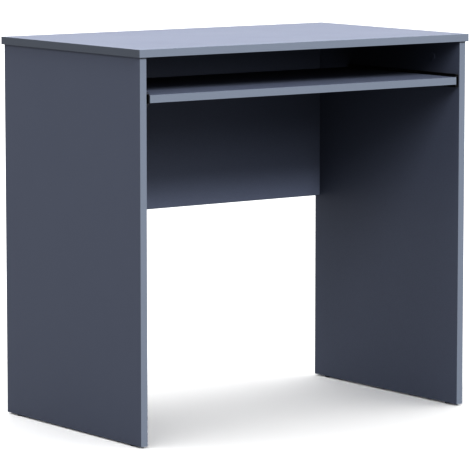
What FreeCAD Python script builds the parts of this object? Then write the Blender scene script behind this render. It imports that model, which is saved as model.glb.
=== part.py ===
import FreeCAD, Part
import math
import os
import re

import Sketcher
from FreeCAD import Placement, Rotation, Vector

# Computer desk with a keyboard tray: a top on two uprights, a back panel between them, and a tray that rolls
# out on ball-bearing slides. The boards are melamine-faced chipboard with glued edge bands, joined by cam
# locks and beech dowels.
#
# Frame: +X to the right of the person at the desk, +Y away from them, +Z up, in millimetres. The origin lies
# on the floor, under the middle of the top.

SIZES = (
    # alias, value in millimetres (or a count), meaning
    ("top_width", 800, "width of the top"),
    ("top_depth", 480, "depth of the top"),
    ("board", 15, "thickness of every board"),
    ("band", 0.8, "thickness of an edge band"),
    ("band_round", 0.4, "rounding of an edge band's outer edges"),
    ("side_height", 736, "height of an upright"),
    ("side_overhang", 4, "top beyond an upright's outer face"),
    ("front_overhang", 5, "top beyond the uprights' front edges"),
    ("back_overhang", 5, "top beyond the uprights' back edges"),
    ("back_height", 350, "height of the back panel"),
    ("tray_depth", 350, "depth of the keyboard tray"),
    ("tray_drop", 71, "underside of the top to the tray's upper face"),
    ("tray_travel", 240, "how far the tray rolls out"),
    ("cam_reach", 34, "board's edge to the cam lock's centre"),
    ("cam_bore", 15, "diameter of a cam lock's bore"),
    ("cam_depth", 12.5, "depth of a cam lock's bore"),
    ("cam_inset", 85, "cam lock from the end of a top joint"),
    ("back_cam_inset", 60, "cam lock from the end of a back panel joint"),
    ("bolt_bore", 8, "bore along a board for a cam bolt"),
    ("thread_bore", 6, "bore that a cam bolt is screwed into"),
    ("thread_depth", 11.5, "depth of that bore"),
    ("dowel_bore", 8, "diameter of a dowel's bore"),
    ("dowel_length", 30, "length of a dowel"),
    ("dowel_in_face", 11.5, "how far a dowel stands into a board's face"),
    ("dowel_shift", 40, "dowel from the cam lock beside it"),
    ("dowel_play", 0.5, "empty depth past each end of a dowel"),
    ("dowel_fit", 0.1, "dowel's diameter under its bore's"),
    ("back_dowel_x", 190, "dowels in the back panel's top edge, from the middle"),
    ("glide_height", 3, "height of a floor glide"),
    ("glide_radius", 7, "radius of a floor glide"),
    ("glide_inset", 36, "floor glide from the end of an upright"),
    ("glide_seat", 1.2, "height of the seat of a nail's head in a glide"),
    ("seat_play", 0.6, "gap round a nail's head in its seat"),
    ("nail_radius", 0.95, "radius of a glide's nail"),
    ("nail_play", 0.05, "gap round that nail"),
    ("nail_head", 2.6, "radius of that nail's head"),
    ("nail_head_height", 0.7, "height of that nail's head"),
    ("nail_length", 18, "nail inside the upright"),
    ("bore_spare", 0.5, "empty depth past the tip of a screw, nail or cam bolt"),
    ("slide_gap", 8, "thickness of a slide, between upright and tray"),
    ("slide_setback", 3, "front of a slide behind the uprights' front edges"),
    ("slide_length", 350, "length of a cabinet member"),
    ("runner_length", 340, "length of a tray member"),
    ("slide_sheet", 1, "steel of a slide's members"),
    ("ball_across", 4.3, "ball centres from the upright"),
    ("ball_up", 10.9, "ball centres above and below the slide's middle"),
    ("ball_radius", 1.5, "radius of a ball"),
    ("race_radius", 1.6, "radius of a raceway"),
    ("race_open", 1.03, "ball centre to the shoulders of its raceways"),
    ("channel_reach", 6.9, "cabinet member's flanges from the upright"),
    ("runner_start", 1.9, "tray member's flanges from the upright"),
    ("stop_front", 6, "front stop from the front of a slide"),
    ("stop_length", 1.2, "length of a stop tab"),
    ("stop_half", 5, "half the height of a stop tab"),
    ("front_stop_catch", 0.25, "front stop beyond the ball cage's sheet"),
    ("rear_stop_play", 0.3, "gap between the rear stop and the cabinet member"),
    ("cage_sheet", 0.4, "steel of a ball cage"),
    ("cage_start", 1.2, "ball cage from the upright"),
    ("cage_reach", 6.2, "edges of a ball cage from the upright"),
    ("cage_length", 88, "length of a ball cage"),
    ("cage_clearance", 0.8, "ball cage behind the front stop when the tray is out"),
    ("ball_hole", 3.1, "diameter of a hole in a ball cage"),
    ("ball_first", 9, "first ball from the cage's end"),
    ("ball_pitch", 10, "ball to ball"),
    ("ball_count", 8, "balls in a row"),
    ("buffer_length", 9, "length of the rubber buffer at the back of a slide"),
    ("buffer_play", 0.05, "gap round that buffer"),
    ("side_screw_first", 35, "first screw of a cabinet member from its front"),
    ("tray_screw_first", 35, "first screw of the tray from its front edge"),
    ("screw_pitch_y", 140, "screw to screw along a slide"),
    ("screw_bore", 3.5, "pilot bore of a slide's screw"),
    ("screw_length", 12, "slide's screw under its head"),
    ("screw_crest", 1.7, "radius over the thread of a slide's screw"),
    ("screw_core", 1.25, "radius of the core of a slide's screw"),
    ("screw_lead", 1.2, "pitch of that thread"),
    ("screw_turns", 8, "turns of that thread"),
    ("screw_hole", 4, "hole in a tray member for a slide's screw"),
    ("flat_head", 3.25, "radius of a countersunk head"),
    ("dimple_play", 0.15, "gap round the tip of a countersink in the upright"),
    ("dimple_depth", 0.9, "depth of the upright's bore for that tip"),
    ("pan_head", 3, "radius of a pan head"),
    ("pan_height", 1.9, "height of a pan head"),
    ("pan_flat", 2.4, "radius of a pan head's flat face"),
    ("pan_edge", 1.14, "height of a pan head's edge"),
    ("cross_reach", 1.8, "cross recess in a screw's head, from its middle"),
    ("cross_half", 0.45, "half the width of that recess"),
    ("cross_depth", 1.2, "depth of that recess"),
    ("lock_play", 0.1, "gap round a cam lock"),
    ("lock_height", 12, "height of a cam lock"),
    ("lock_chamber", 9, "diameter of the chamber round a cam bolt's head"),
    ("lock_chamber_height", 8, "height of that chamber"),
    ("lock_throat_half", 2.6, "half the width of the slot for a cam bolt's neck"),
    ("lock_cross_reach", 3, "cross recess of a cam lock, from its middle"),
    ("lock_cross_half", 0.6, "half the width of that recess"),
    ("lock_cross_depth", 2, "depth of that recess"),
    ("arrow_tip", 6.6, "tip of a cam lock's arrow from its middle"),
    ("arrow_length", 2.2, "length of that arrow"),
    ("arrow_depth", 0.4, "depth of that arrow"),
    ("cap_rim", 1, "cover cap beyond the cam lock's bore"),
    ("cap_height", 1, "height of a cover cap"),
    ("cap_round", 0.5, "bevel of a cover cap's rim"),
    ("cap_plug", 1.5, "length of a cover cap's plug"),
    ("bolt_head", 3.4, "radius of a cam bolt's head"),
    ("bolt_head_end", 2, "end of a cam bolt past the cam's centre"),
    ("bolt_head_start", 0.8, "cam's centre to the underside of a cam bolt's head"),
    ("bolt_bevel", 0.8, "bevel of a cam bolt's head and shank"),
    ("bolt_cone", 1, "length of the cone under a cam bolt's head"),
    ("bolt_neck_end", 8, "cam's centre to the end of a cam bolt's neck"),
    ("bolt_collar", 1, "length of a cam bolt's collar at the joint"),
    ("bolt_neck", 2.2, "radius of a cam bolt's neck"),
    ("bolt_shank", 3, "radius of a cam bolt's shank"),
    ("bolt_core", 2.3, "radius of the core of a cam bolt's thread"),
    ("bolt_lead", 1.7, "pitch of that thread"),
    ("bolt_turns", 6, "turns of that thread"),
    ("dowel_chamfer", 1, "chamfer of a dowel's ends"),
    ("flute_width", 0.8, "width of a flute in a dowel"),
    ("flute_count", 12, "flutes round a dowel"),
)
ALIASES = {alias: value for alias, value, _ in SIZES}

# Places worked out from the sizes above, as formulas of the sheet's aliases.
SIDE_DEPTH = "(top_depth - front_overhang - back_overhang)"
INNER_X = "(top_width / 2 - side_overhang - board)"
OUTER_X = "(top_width / 2 - side_overhang)"
FRONT_Y = "(front_overhang - top_depth / 2)"
BACK_Y = "(top_depth / 2 - back_overhang)"
TOP_Z = "(glide_height + side_height)"
TRAY_WIDTH = f"(2 * ({INNER_X} - slide_gap))"
TRAY_Z = f"({TOP_Z} - tray_drop - board)"
SLIDE_Y = f"({FRONT_Y} + slide_setback)"
SLIDE_Z = f"({TRAY_Z} + board / 2)"
CAGE_Y = "(stop_front + stop_length + cage_clearance + tray_travel / 2)"
DOWEL_IN_EDGE = "(dowel_length - dowel_in_face)"

# Joints along an upright's top edge, from its front, and along the back panel's ends, from its bottom.
SIDE_CAMS = ("cam_inset", f"{SIDE_DEPTH} - cam_inset")
SIDE_DOWELS = ("cam_inset - dowel_shift", f"{SIDE_DEPTH} - cam_inset + dowel_shift")
BACK_CAMS = ("back_cam_inset", "back_height - back_cam_inset")
BACK_DOWELS = ("back_cam_inset + dowel_shift", "back_height - back_cam_inset - dowel_shift")
SIGNS = ("-", "")
SIDES = tuple(zip(("left", "right"), SIGNS))

X_AXIS = Vector(1, 0, 0)
Y_AXIS = Vector(0, 1, 0)
Z_AXIS = Vector(0, 0, 1)

NO_LENGTH = 1e-6
LEAST_CUT = 0.01


# Parametric helpers


def write_sizes(doc):
    """Puts the driving dimensions into the document's spreadsheet, each under its alias."""
    sheet = doc.addObject("Spreadsheet::Sheet", "Sizes")
    for row, (alias, value, meaning) in enumerate(SIZES, start=1):
        sheet.set(f"A{row}", meaning)
        sheet.set(f"B{row}", str(value))
        sheet.setAlias(f"B{row}", alias)
    doc.recompute()


def bind(obj, path, text):
    """Binds a property to a formula of the sheet's aliases."""
    formula = re.sub(r"[a-z_]+", lambda word: f"Sizes.{word[0]}" if word[0] in ALIASES else word[0], text)
    obj.setExpression(path, formula)


def place(obj, x="0", y="0", z="0", rotation=Rotation(), path="Placement"):
    """Turns an object and binds its position."""
    setattr(obj, path, Placement(Vector(), rotation))
    for axis, text in (("x", x), ("y", y), ("z", z)):
        bind(obj, f"{path}.Base.{axis}", text)


def new_body(doc, label):
    """An empty body with its label."""
    body = doc.addObject("PartDesign::Body", label)
    body.Label = label
    return body


def sketch_on(body, plane, offset="0"):
    """A sketch on one of the body's own planes, moved along the plane's normal."""
    sketch = body.newObject("Sketcher::SketchObject", "Sketch")
    support = next(f for f in body.Origin.OriginFeatures if f.Role == plane)
    sketch.AttachmentSupport = [(support, "")]
    sketch.MapMode = "FlatFace"
    bind(sketch, "AttachmentOffset.Base.z", offset)
    return sketch


def fix_point(sketch, geometry, point, x, y, guess):
    """Ties a sketch point to the sketch's origin by two bound distances."""
    for kind, text, start in (("DistanceX", x, guess.x), ("DistanceY", y, guess.y)):
        start = start if abs(start) > NO_LENGTH else 1.0
        number = sketch.addConstraint(Sketcher.Constraint(kind, -1, 1, geometry, point, start))
        bind(sketch, f"Constraints[{number}]", text)


def draw_polygon(sketch, corners):
    """A closed polygon; its lines start on a circle, and the bound distances carry each corner home."""
    count = len(corners)
    ring = [Vector(math.cos(2 * math.pi * n / count), math.sin(2 * math.pi * n / count), 0) for n in range(count)]
    lines = []
    for n in range(count):
        lines.append(sketch.addGeometry(Part.LineSegment(ring[n], ring[(n + 1) % count])))
    for n in range(count):
        following = lines[(n + 1) % count]
        sketch.addConstraint(Sketcher.Constraint("Coincident", lines[n], 2, following, 1))
    for n, (x, y) in enumerate(corners):
        fix_point(sketch, lines[n], 1, x, y, ring[n])


def draw_rectangle(sketch, left, low, right, high):
    """A rectangle between two opposite corners."""
    draw_polygon(sketch, [(left, low), (right, low), (right, high), (left, high)])


def draw_circles(sketch, centres, diameter):
    """Equal circles at bound centres."""
    for x, y in centres:
        circle = sketch.addGeometry(Part.Circle(Vector(1, 1, 0), Z_AXIS, 1))
        fix_point(sketch, circle, 3, x, y, Vector(1, 1, 0))
        number = sketch.addConstraint(Sketcher.Constraint("Diameter", circle, 2.0))
        bind(sketch, f"Constraints[{number}]", diameter)


def draw_cross(sketch, reach, half):
    """The plus-shaped outline of a screwdriver recess."""
    steps = [(reach, half), (half, half), (half, reach)]
    corners = list(steps)
    for turn in range(3):
        steps = [(f"-({y})", x) for x, y in steps]
        corners += steps
    draw_polygon(sketch, corners)


def extrude(body, kind, name, sketch, length, reverse=False):
    """A Pad along the sketch's normal or a Pocket against it; reverse turns either round."""
    feature = body.newObject(f"PartDesign::{kind}", name)
    feature.Profile = sketch
    feature.Reversed = reverse
    bind(feature, "Length", length)
    return feature


def bore(body, name, plane, centres, diameter, depth, offset="0", reverse=False):
    """Round blind bores from a plane of the body."""
    sketch = sketch_on(body, plane, offset)
    draw_circles(sketch, centres, diameter)
    return extrude(body, "Pocket", name, sketch, depth, reverse)


def repeat(body, name, feature, axis, length, occurrences):
    """A linear pattern of one feature along one of the body's axes."""
    pattern = body.newObject("PartDesign::LinearPattern", name)
    pattern.Originals = [feature]
    pattern.Direction = (next(f for f in body.Origin.OriginFeatures if f.Role == axis), [""])
    bind(pattern, "Length", length)
    bind(pattern, "Occurrences", occurrences)
    body.Tip = pattern
    return pattern


def turned(doc, label, profile):
    """A body turned about its Z axis from corners given as radius and height."""
    body = new_body(doc, label)
    sketch = sketch_on(body, "XZ_Plane")
    draw_polygon(sketch, profile)
    feature = body.newObject("PartDesign::Revolution", "Turned")
    feature.Profile = sketch
    feature.ReferenceAxis = (sketch, ["V_Axis"])
    feature.Angle = 360
    return body


def copy_of(doc, master, x, y, z, rotation=Rotation()):
    """A link that shows a master piece at another place."""
    link = doc.addObject("App::Link", f"{master.Name}Copy")
    link.LinkedObject = master
    place(link, x, y, z, rotation, "LinkPlacement")
    return link


def group(doc, label, copies):
    """One sub-part made of separate equal pieces."""
    compound = doc.addObject("Part::Compound", label)
    compound.Label = label
    compound.Links = copies
    return compound


# Boards


def top_panel(doc):
    """The top's board inside its edge bands, bored from below for cam bolts and dowels."""
    body = new_body(doc, "top_panel")
    outline = sketch_on(body, "XY_Plane")
    half_width, half_depth = "(top_width / 2 - band)", "(top_depth / 2 - band)"
    draw_rectangle(outline, f"-{half_width}", f"-{half_depth}", half_width, half_depth)
    extrude(body, "Pad", "Board", outline, "board")
    over_sides = [f"{sign}({INNER_X} + board / 2)" for sign in SIGNS]
    bolts = [(x, f"{FRONT_Y} + {y}") for x in over_sides for y in SIDE_CAMS]
    bore(body, "BoltBores", "XY_Plane", bolts, "thread_bore", "thread_depth", reverse=True)
    dowels = [(x, f"{FRONT_Y} + {y}") for x in over_sides for y in SIDE_DOWELS]
    dowels += [(f"{sign}back_dowel_x", f"{BACK_Y} - board / 2") for sign in SIGNS]
    bore(body, "DowelBores", "XY_Plane", dowels, "dowel_bore", "dowel_in_face + dowel_play", reverse=True)
    place(body, z=TOP_Z)
    return body


def side_panel(doc, side, sign):
    """An upright. Its local X is 0 at the inner face, and the left one is drawn towards -X."""
    right = side == "right"
    body = new_body(doc, f"{side}_side_panel")
    outline = sketch_on(body, "YZ_Plane")
    draw_rectangle(outline, "band", "0", f"{SIDE_DEPTH} - band", "side_height")
    extrude(body, "Pad", "Board", outline, "board", reverse=not right)
    cams = [(y, "side_height - cam_reach") for y in SIDE_CAMS]
    bore(body, "CamBores", "YZ_Plane", cams, "cam_bore", "cam_depth", reverse=right)
    bottom_of_back = "side_height - back_height"
    middle_of_back = f"{SIDE_DEPTH} - board / 2"
    bolts = [(middle_of_back, f"{bottom_of_back} + {z}") for z in BACK_CAMS]
    bore(body, "BackBoltBores", "YZ_Plane", bolts, "thread_bore", "thread_depth", reverse=right)
    dowels = [(middle_of_back, f"{bottom_of_back} + {z}") for z in BACK_DOWELS]
    bore(body, "BackDowelBores", "YZ_Plane", dowels, "dowel_bore", "dowel_in_face + dowel_play", reverse=right)
    slide_z = "side_height - tray_drop - board / 2"
    screws = [(f"slide_setback + side_screw_first + {n} * screw_pitch_y", slide_z) for n in range(3)]
    bore(body, "ScrewBores", "YZ_Plane", screws, "screw_bore", "screw_length + bore_spare", reverse=right)
    dimple = "2 * (flat_head - slide_sheet + dimple_play)"
    bore(body, "ScrewDimples", "YZ_Plane", screws, dimple, "dimple_depth", reverse=right)
    middle = f"{sign}board / 2"
    top_bolts = [(middle, y) for y in SIDE_CAMS]
    bore(body, "BoltBores", "XY_Plane", top_bolts, "bolt_bore", "cam_reach", offset="side_height")
    top_dowels = [(middle, y) for y in SIDE_DOWELS]
    depth = f"{DOWEL_IN_EDGE} + dowel_play"
    bore(body, "DowelBores", "XY_Plane", top_dowels, "dowel_bore", depth, offset="side_height")
    nails = [(middle, "glide_inset"), (middle, f"{SIDE_DEPTH} - glide_inset")]
    nail_bore = "2 * (nail_radius + nail_play)"
    bore(body, "NailBores", "XY_Plane", nails, nail_bore, "nail_length + bore_spare", reverse=True)
    place(body, x=f"{sign}{INNER_X}", y=FRONT_Y, z="glide_height")
    return body


def back_panel(doc):
    """The panel between the uprights, under the top; its cam locks are bored from the rear."""
    body = new_body(doc, "back_panel")
    outline = sketch_on(body, "XZ_Plane")
    draw_rectangle(outline, f"-{INNER_X}", "band", INNER_X, "back_height")
    extrude(body, "Pad", "Board", outline, "board", reverse=True)
    cams = [(f"{sign}({INNER_X} - cam_reach)", z) for sign in SIGNS for z in BACK_CAMS]
    bore(body, "CamBores", "XZ_Plane", cams, "cam_bore", "cam_depth", offset="-board", reverse=True)
    for side, sign in SIDES:
        at_left = side == "left"
        end = f"{sign}{INNER_X}"
        bolts = [("board / 2", z) for z in BACK_CAMS]
        bore(body, "BoltBores", "YZ_Plane", bolts, "bolt_bore", "cam_reach", end, at_left)
        dowels = [("board / 2", z) for z in BACK_DOWELS]
        depth = f"{DOWEL_IN_EDGE} + dowel_play"
        bore(body, "EndDowelBores", "YZ_Plane", dowels, "dowel_bore", depth, end, at_left)
    top_dowels = [(f"{sign}back_dowel_x", "board / 2") for sign in SIGNS]
    bore(body, "TopDowelBores", "XY_Plane", top_dowels, "dowel_bore", depth, offset="back_height")
    place(body, y=f"{BACK_Y} - board", z=f"{TOP_Z} - back_height")
    return body


def keyboard_tray(doc):
    """The tray's board inside its edge bands, bored in both ends for the slides' screws."""
    body = new_body(doc, "keyboard_tray")
    outline = sketch_on(body, "XY_Plane")
    half_width = f"({TRAY_WIDTH} / 2 - band)"
    draw_rectangle(outline, f"-{half_width}", "band", half_width, "tray_depth - band")
    extrude(body, "Pad", "Board", outline, "board")
    screws = [(f"tray_screw_first + {n} * screw_pitch_y", "board / 2") for n in range(3)]
    for side, sign in SIDES:
        end = f"{sign}{half_width}"
        bore(body, "ScrewBores", "YZ_Plane", screws, "screw_bore", "screw_length - slide_sheet", end, side == "left")
    place(body, y=FRONT_Y, z=TRAY_Z)
    return body


# Edge bands


def edge_band(doc, label, length):
    """A strip along local X with its outer face at local Y 0 and that face's long edges rounded."""
    body = new_body(doc, label)
    section = sketch_on(body, "YZ_Plane")
    draw_rectangle(section, "0", "0", "band", "board")
    strip = extrude(body, "Pad", "Strip", section, length)
    doc.recompute()
    outer = [
        f"Edge{n}"
        for n, edge in enumerate(strip.Shape.Edges, start=1)
        if edge.BoundBox.YMax < NO_LENGTH < edge.BoundBox.XLength
    ]
    trimmed = body.newObject("PartDesign::Fillet", "TrimmedEdges")
    trimmed.Base = (strip, outer)
    bind(trimmed, "Radius", "band_round")
    return body


def flat_bands(doc, label, width, depth, front, base, ends):
    """The four bands of a level board: front and back at full width, and the given strip at both ends."""
    long_band = edge_band(doc, f"{label}_long_strip", width)
    back = f"{front} + {depth}"
    copies = [
        copy_of(doc, long_band, f"-{width} / 2", front, base),
        copy_of(doc, long_band, f"{width} / 2", back, base, Rotation(Z_AXIS, 180)),
        copy_of(doc, ends, f"-{width} / 2", f"{back} - band", base, Rotation(Z_AXIS, -90)),
        copy_of(doc, ends, f"{width} / 2", f"{front} + band", base, Rotation(Z_AXIS, 90)),
    ]
    return group(doc, label, copies)


def top_bands(doc):
    """The four edge bands of the top."""
    ends = edge_band(doc, "top_end_strip", "top_depth - 2 * band")
    return flat_bands(doc, "top_edge_bands", "top_width", "top_depth", "-top_depth / 2", TOP_Z, ends)


def tray_bands(doc):
    """The four edge bands of the tray; the end ones let the slides' screws through."""
    ends = edge_band(doc, "tray_end_strip", "tray_depth - 2 * band")
    holes = [(f"tray_screw_first - band + {n} * screw_pitch_y", "board / 2") for n in range(3)]
    bore(ends, "ScrewHoles", "XZ_Plane", holes, "screw_bore", "2 * band")
    return flat_bands(doc, "tray_edge_bands", TRAY_WIDTH, "tray_depth", FRONT_Y, TRAY_Z, ends)


def side_bands(doc, side):
    """The front and back bands of an upright; its top and bottom edges are left raw."""
    strip = edge_band(doc, f"{side}_upright_strip", "side_height")
    right = side == "right"
    upright = Rotation(Y_AXIS, -90)
    turned_round = Rotation(Z_AXIS, 180).multiply(upright)
    front_x = OUTER_X if right else f"-{INNER_X}"
    back_x = INNER_X if right else f"-{OUTER_X}"
    copies = [
        copy_of(doc, strip, front_x, FRONT_Y, "glide_height", upright),
        copy_of(doc, strip, back_x, BACK_Y, "glide_height", turned_round),
    ]
    return group(doc, f"{side}_side_edge_bands", copies)


def back_band(doc):
    """The band along the back panel's bottom edge."""
    body = edge_band(doc, "back_panel_edge_band", f"2 * {INNER_X}")
    place(body, f"-{INNER_X}", BACK_Y, f"{TOP_Z} - back_height", Rotation(X_AXIS, 90))
    return body


# Ball-bearing slides. A slide's local X is 0 at the upright and grows towards the tray, its Y is 0 at its
# front, and its Z is 0 at its middle. The right-hand slide is the same part turned half round about Y.


def place_slide_part(body, side, sign, ahead="0"):
    """Puts a slide's piece on its upright, a distance behind the slide's front."""
    turn = Rotation(Y_AXIS, 180 if side == "right" else 0)
    place(body, f"{sign}{INNER_X}", f"{SLIDE_Y} + {ahead}", SLIDE_Z, turn)


def draw_races(sketch, radius):
    """Circles round the ball centres of both rows."""
    draw_circles(sketch, [("ball_across", f"{sign}ball_up") for sign in SIGNS], f"2 * {radius}")


def cabinet_member(doc, side, sign):
    """The C channel on the upright: two flanges with a pressed raceway each, and a stop tab near the front."""
    body = new_body(doc, f"{side}_slide_cabinet_member")
    shoulder = "(ball_up + race_open)"
    outline = sketch_on(body, "XZ_Plane")
    outer = f"({shoulder} + slide_sheet)"
    draw_rectangle(outline, "0", f"-{outer}", "channel_reach", outer)
    extrude(body, "Pad", "Channel", outline, "slide_length", reverse=True)
    grooves = sketch_on(body, "XZ_Plane")
    draw_races(grooves, "(race_radius + slide_sheet)")
    extrude(body, "Pad", "Grooves", grooves, "slide_length", reverse=True)
    races = sketch_on(body, "XZ_Plane")
    draw_races(races, "race_radius")
    extrude(body, "Pocket", "Raceways", races, "slide_length")
    hollow = sketch_on(body, "XZ_Plane")
    draw_rectangle(hollow, "slide_sheet", f"-{shoulder}", "slide_gap", shoulder)
    extrude(body, "Pocket", "Hollow", hollow, "slide_length")
    tab = sketch_on(body, "XZ_Plane", "-stop_front")
    catch = "cage_start + cage_sheet + front_stop_catch"
    draw_rectangle(tab, "slide_sheet / 2", "-stop_half", catch, "stop_half")
    extrude(body, "Pad", "FrontStop", tab, "stop_length", reverse=True)
    access = [(f"side_screw_first + {n} * screw_pitch_y / 5", "0") for n in (1, 2, 3, 4, 6, 7, 8, 9)]
    bore(body, "AccessHoles", "YZ_Plane", access, "2 * flat_head", "2 * slide_sheet", reverse=True)
    sink = body.newObject("PartDesign::SubtractiveCone", "Countersink")
    plane = next(f for f in body.Origin.OriginFeatures if f.Role == "YZ_Plane")
    sink.AttachmentSupport = [(plane, "")]
    sink.MapMode = "FlatFace"
    bind(sink, "AttachmentOffset.Base.x", "side_screw_first")
    bind(sink, "Radius1", "flat_head - slide_sheet")
    bind(sink, "Radius2", "flat_head")
    bind(sink, "Height", "slide_sheet")
    repeat(body, "Countersinks", sink, "Y_Axis", "2 * screw_pitch_y", "3")
    place_slide_part(body, side, sign)
    return body


def tray_member(doc, side, sign):
    """The smaller C channel on the tray's edge, nested in the first, with a stop tab at its rear."""
    body = new_body(doc, f"{side}_slide_tray_member")
    shoulder = "(ball_up - race_open)"
    outline = sketch_on(body, "XZ_Plane")
    draw_rectangle(outline, "runner_start", f"-{shoulder}", "slide_gap", shoulder)
    extrude(body, "Pad", "Channel", outline, "runner_length", reverse=True)
    hollow = sketch_on(body, "XZ_Plane")
    inner = f"({shoulder} - slide_sheet)"
    draw_rectangle(hollow, "0", f"-{inner}", "slide_gap - slide_sheet", inner)
    extrude(body, "Pocket", "Hollow", hollow, "runner_length")
    grooves = sketch_on(body, "XZ_Plane")
    draw_races(grooves, "(race_radius + slide_sheet)")
    extrude(body, "Pad", "Grooves", grooves, "runner_length", reverse=True)
    races = sketch_on(body, "XZ_Plane")
    draw_races(races, "race_radius")
    extrude(body, "Pocket", "Raceways", races, "runner_length")
    open_halves = sketch_on(body, "XZ_Plane")
    beyond = "(ball_up + 2 * race_radius)"
    for row in SIGNS:
        draw_rectangle(open_halves, "0", f"{row}{shoulder}", "slide_gap", f"{row}{beyond}")
    extrude(body, "Pocket", "OpenHalves", open_halves, "runner_length")
    tab = sketch_on(body, "XZ_Plane", "-(runner_length - stop_length)")
    near = "slide_sheet + rear_stop_play"
    draw_rectangle(tab, near, "-stop_half", "slide_gap - slide_sheet / 2", "stop_half")
    extrude(body, "Pad", "RearStop", tab, "stop_length", reverse=True)
    first = "tray_screw_first - slide_setback"
    screws = [(f"{first} + {n} * screw_pitch_y", "0") for n in range(3)]
    far_side = "slide_gap + slide_sheet"
    bore(body, "ScrewHoles", "YZ_Plane", screws, "screw_hole", "3 * slide_sheet", far_side)
    access = [(f"{first} + {n} * screw_pitch_y / 4", "0") for n in (1, 2, 3, 5, 6, 7)]
    bore(body, "AccessHoles", "YZ_Plane", access, "2 * flat_head", "3 * slide_sheet", far_side)
    place_slide_part(body, side, sign)
    return body


def ball_cage(doc, side, sign):
    """The pressed cage that spaces the balls; it rolls half as far as the tray."""
    body = new_body(doc, f"{side}_ball_cage")
    leg = "(ball_up + cage_sheet / 2)"
    outline = sketch_on(body, "XZ_Plane")
    draw_rectangle(outline, "cage_start", f"-{leg}", "cage_reach", leg)
    extrude(body, "Pad", "Strip", outline, "cage_length", reverse=True)
    inside = f"({leg} - cage_sheet)"
    hollow = sketch_on(body, "XZ_Plane")
    draw_rectangle(hollow, "cage_start + cage_sheet", f"-{inside}", "slide_gap", inside)
    extrude(body, "Pocket", "Hollow", hollow, "cage_length")
    window = sketch_on(body, "YZ_Plane", "2 * cage_start")
    for n in range(3):
        start = f"(ball_first + {n} * (cage_length - ball_first) / 3)"
        draw_rectangle(window, start, "-stop_half", f"{start} + cage_length / 5", "stop_half")
    extrude(body, "Pocket", "Windows", window, "2 * cage_start")
    holes = [("ball_across", "ball_first")]
    through = bore(body, "BallHoles", "XY_Plane", holes, "ball_hole", "4 * ball_up")
    through.Midplane = True
    repeat(body, "BallHoleRow", through, "Y_Axis", "(ball_count - 1) * ball_pitch", "ball_count")
    place_slide_part(body, side, sign, CAGE_Y)
    return body


def slide_balls(doc, side, sign):
    """Both rows of balls of one slide."""
    ball = doc.addObject("Part::Sphere", f"{side}_ball")
    bind(ball, "Radius", "ball_radius")
    copies = []
    for row in SIGNS:
        for n in range(ALIASES["ball_count"]):
            y = f"{SLIDE_Y} + {CAGE_Y} + ball_first + {n} * ball_pitch"
            copies.append(copy_of(doc, ball, f"{sign}({INNER_X} - ball_across)", y, f"{SLIDE_Z} + {row}ball_up"))
    return group(doc, f"{side}_slide_balls", copies)


def slide_buffer(doc, side, sign):
    """The rubber buffer at the back of a slide, which the tray member meets when the tray is in."""
    body = new_body(doc, f"{side}_slide_buffer")
    half = "(ball_up + race_open - buffer_play)"
    outline = sketch_on(body, "YZ_Plane", "slide_sheet + buffer_play")
    shoulder_y = "slide_length - buffer_length / 2"
    nose_y = "slide_length - buffer_length"
    corners = [
        ("slide_length", f"-{half}"),
        ("slide_length", half),
        (shoulder_y, half),
        (nose_y, "stop_half"),
        (nose_y, "-stop_half"),
        (shoulder_y, f"-{half}"),
    ]
    draw_polygon(outline, corners)
    extrude(body, "Pad", "Block", outline, "channel_reach - slide_sheet - 6 * buffer_play")
    place_slide_part(body, side, sign)
    return body


# Fasteners


def thread(crest, core, start, lead, turns):
    """Corners of a thread's section along the Z axis: rings of its core and its crest, from its start."""
    corners = []
    for n in range(turns):
        corners.append((core, f"{start} + {n} * {lead}"))
        corners.append((crest, f"{start} + ({n} + 0.5) * {lead}"))
    return corners


def slide_screw(doc, label, head, face):
    """A slide's screw pointing down from local Z 0, under the given head, with a cross recess in its face."""
    start = "-pan_height"
    turns = ALIASES["screw_turns"]
    rings = thread("screw_crest", "screw_core", start, "(-screw_lead)", turns)
    tip = [("screw_core", f"{start} - {turns} * screw_lead"), ("0", "-screw_length")]
    body = turned(doc, label, head + rings + tip)
    recess = sketch_on(body, "XY_Plane", face)
    draw_cross(recess, "cross_reach", "cross_half")
    extrude(body, "Pocket", "Recess", recess, "cross_depth")
    return body


def side_screws(doc):
    """Countersunk screws that hold the cabinet members to the uprights."""
    head = [("0", "0"), ("flat_head", "0"), ("screw_crest", "screw_crest - flat_head")]
    screw = slide_screw(doc, "flat_screw", head, "0")
    copies = []
    for side, sign in SIDES:
        turn = Rotation(Y_AXIS, 90 if side == "left" else -90)
        for n in range(3):
            y = f"{SLIDE_Y} + side_screw_first + {n} * screw_pitch_y"
            copies.append(copy_of(doc, screw, f"{sign}({INNER_X} - slide_sheet)", y, SLIDE_Z, turn))
    return group(doc, "slide_to_side_screws", copies)


def tray_screws(doc):
    """Pan-head screws that hold the tray members to the tray's ends."""
    head = [
        ("0", "pan_height"),
        ("pan_flat", "pan_height"),
        ("pan_head", "pan_edge"),
        ("pan_head", "0"),
        ("screw_crest", "0"),
    ]
    screw = slide_screw(doc, "pan_screw", head, "pan_height")
    copies = []
    for side, sign in SIDES:
        turn = Rotation(Y_AXIS, -90 if side == "left" else 90)
        for n in range(3):
            x = f"{sign}({INNER_X} - slide_gap + slide_sheet)"
            y = f"{FRONT_Y} + tray_screw_first + {n} * screw_pitch_y"
            copies.append(copy_of(doc, screw, x, y, SLIDE_Z, turn))
    return group(doc, "slide_to_tray_screws", copies)


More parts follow.
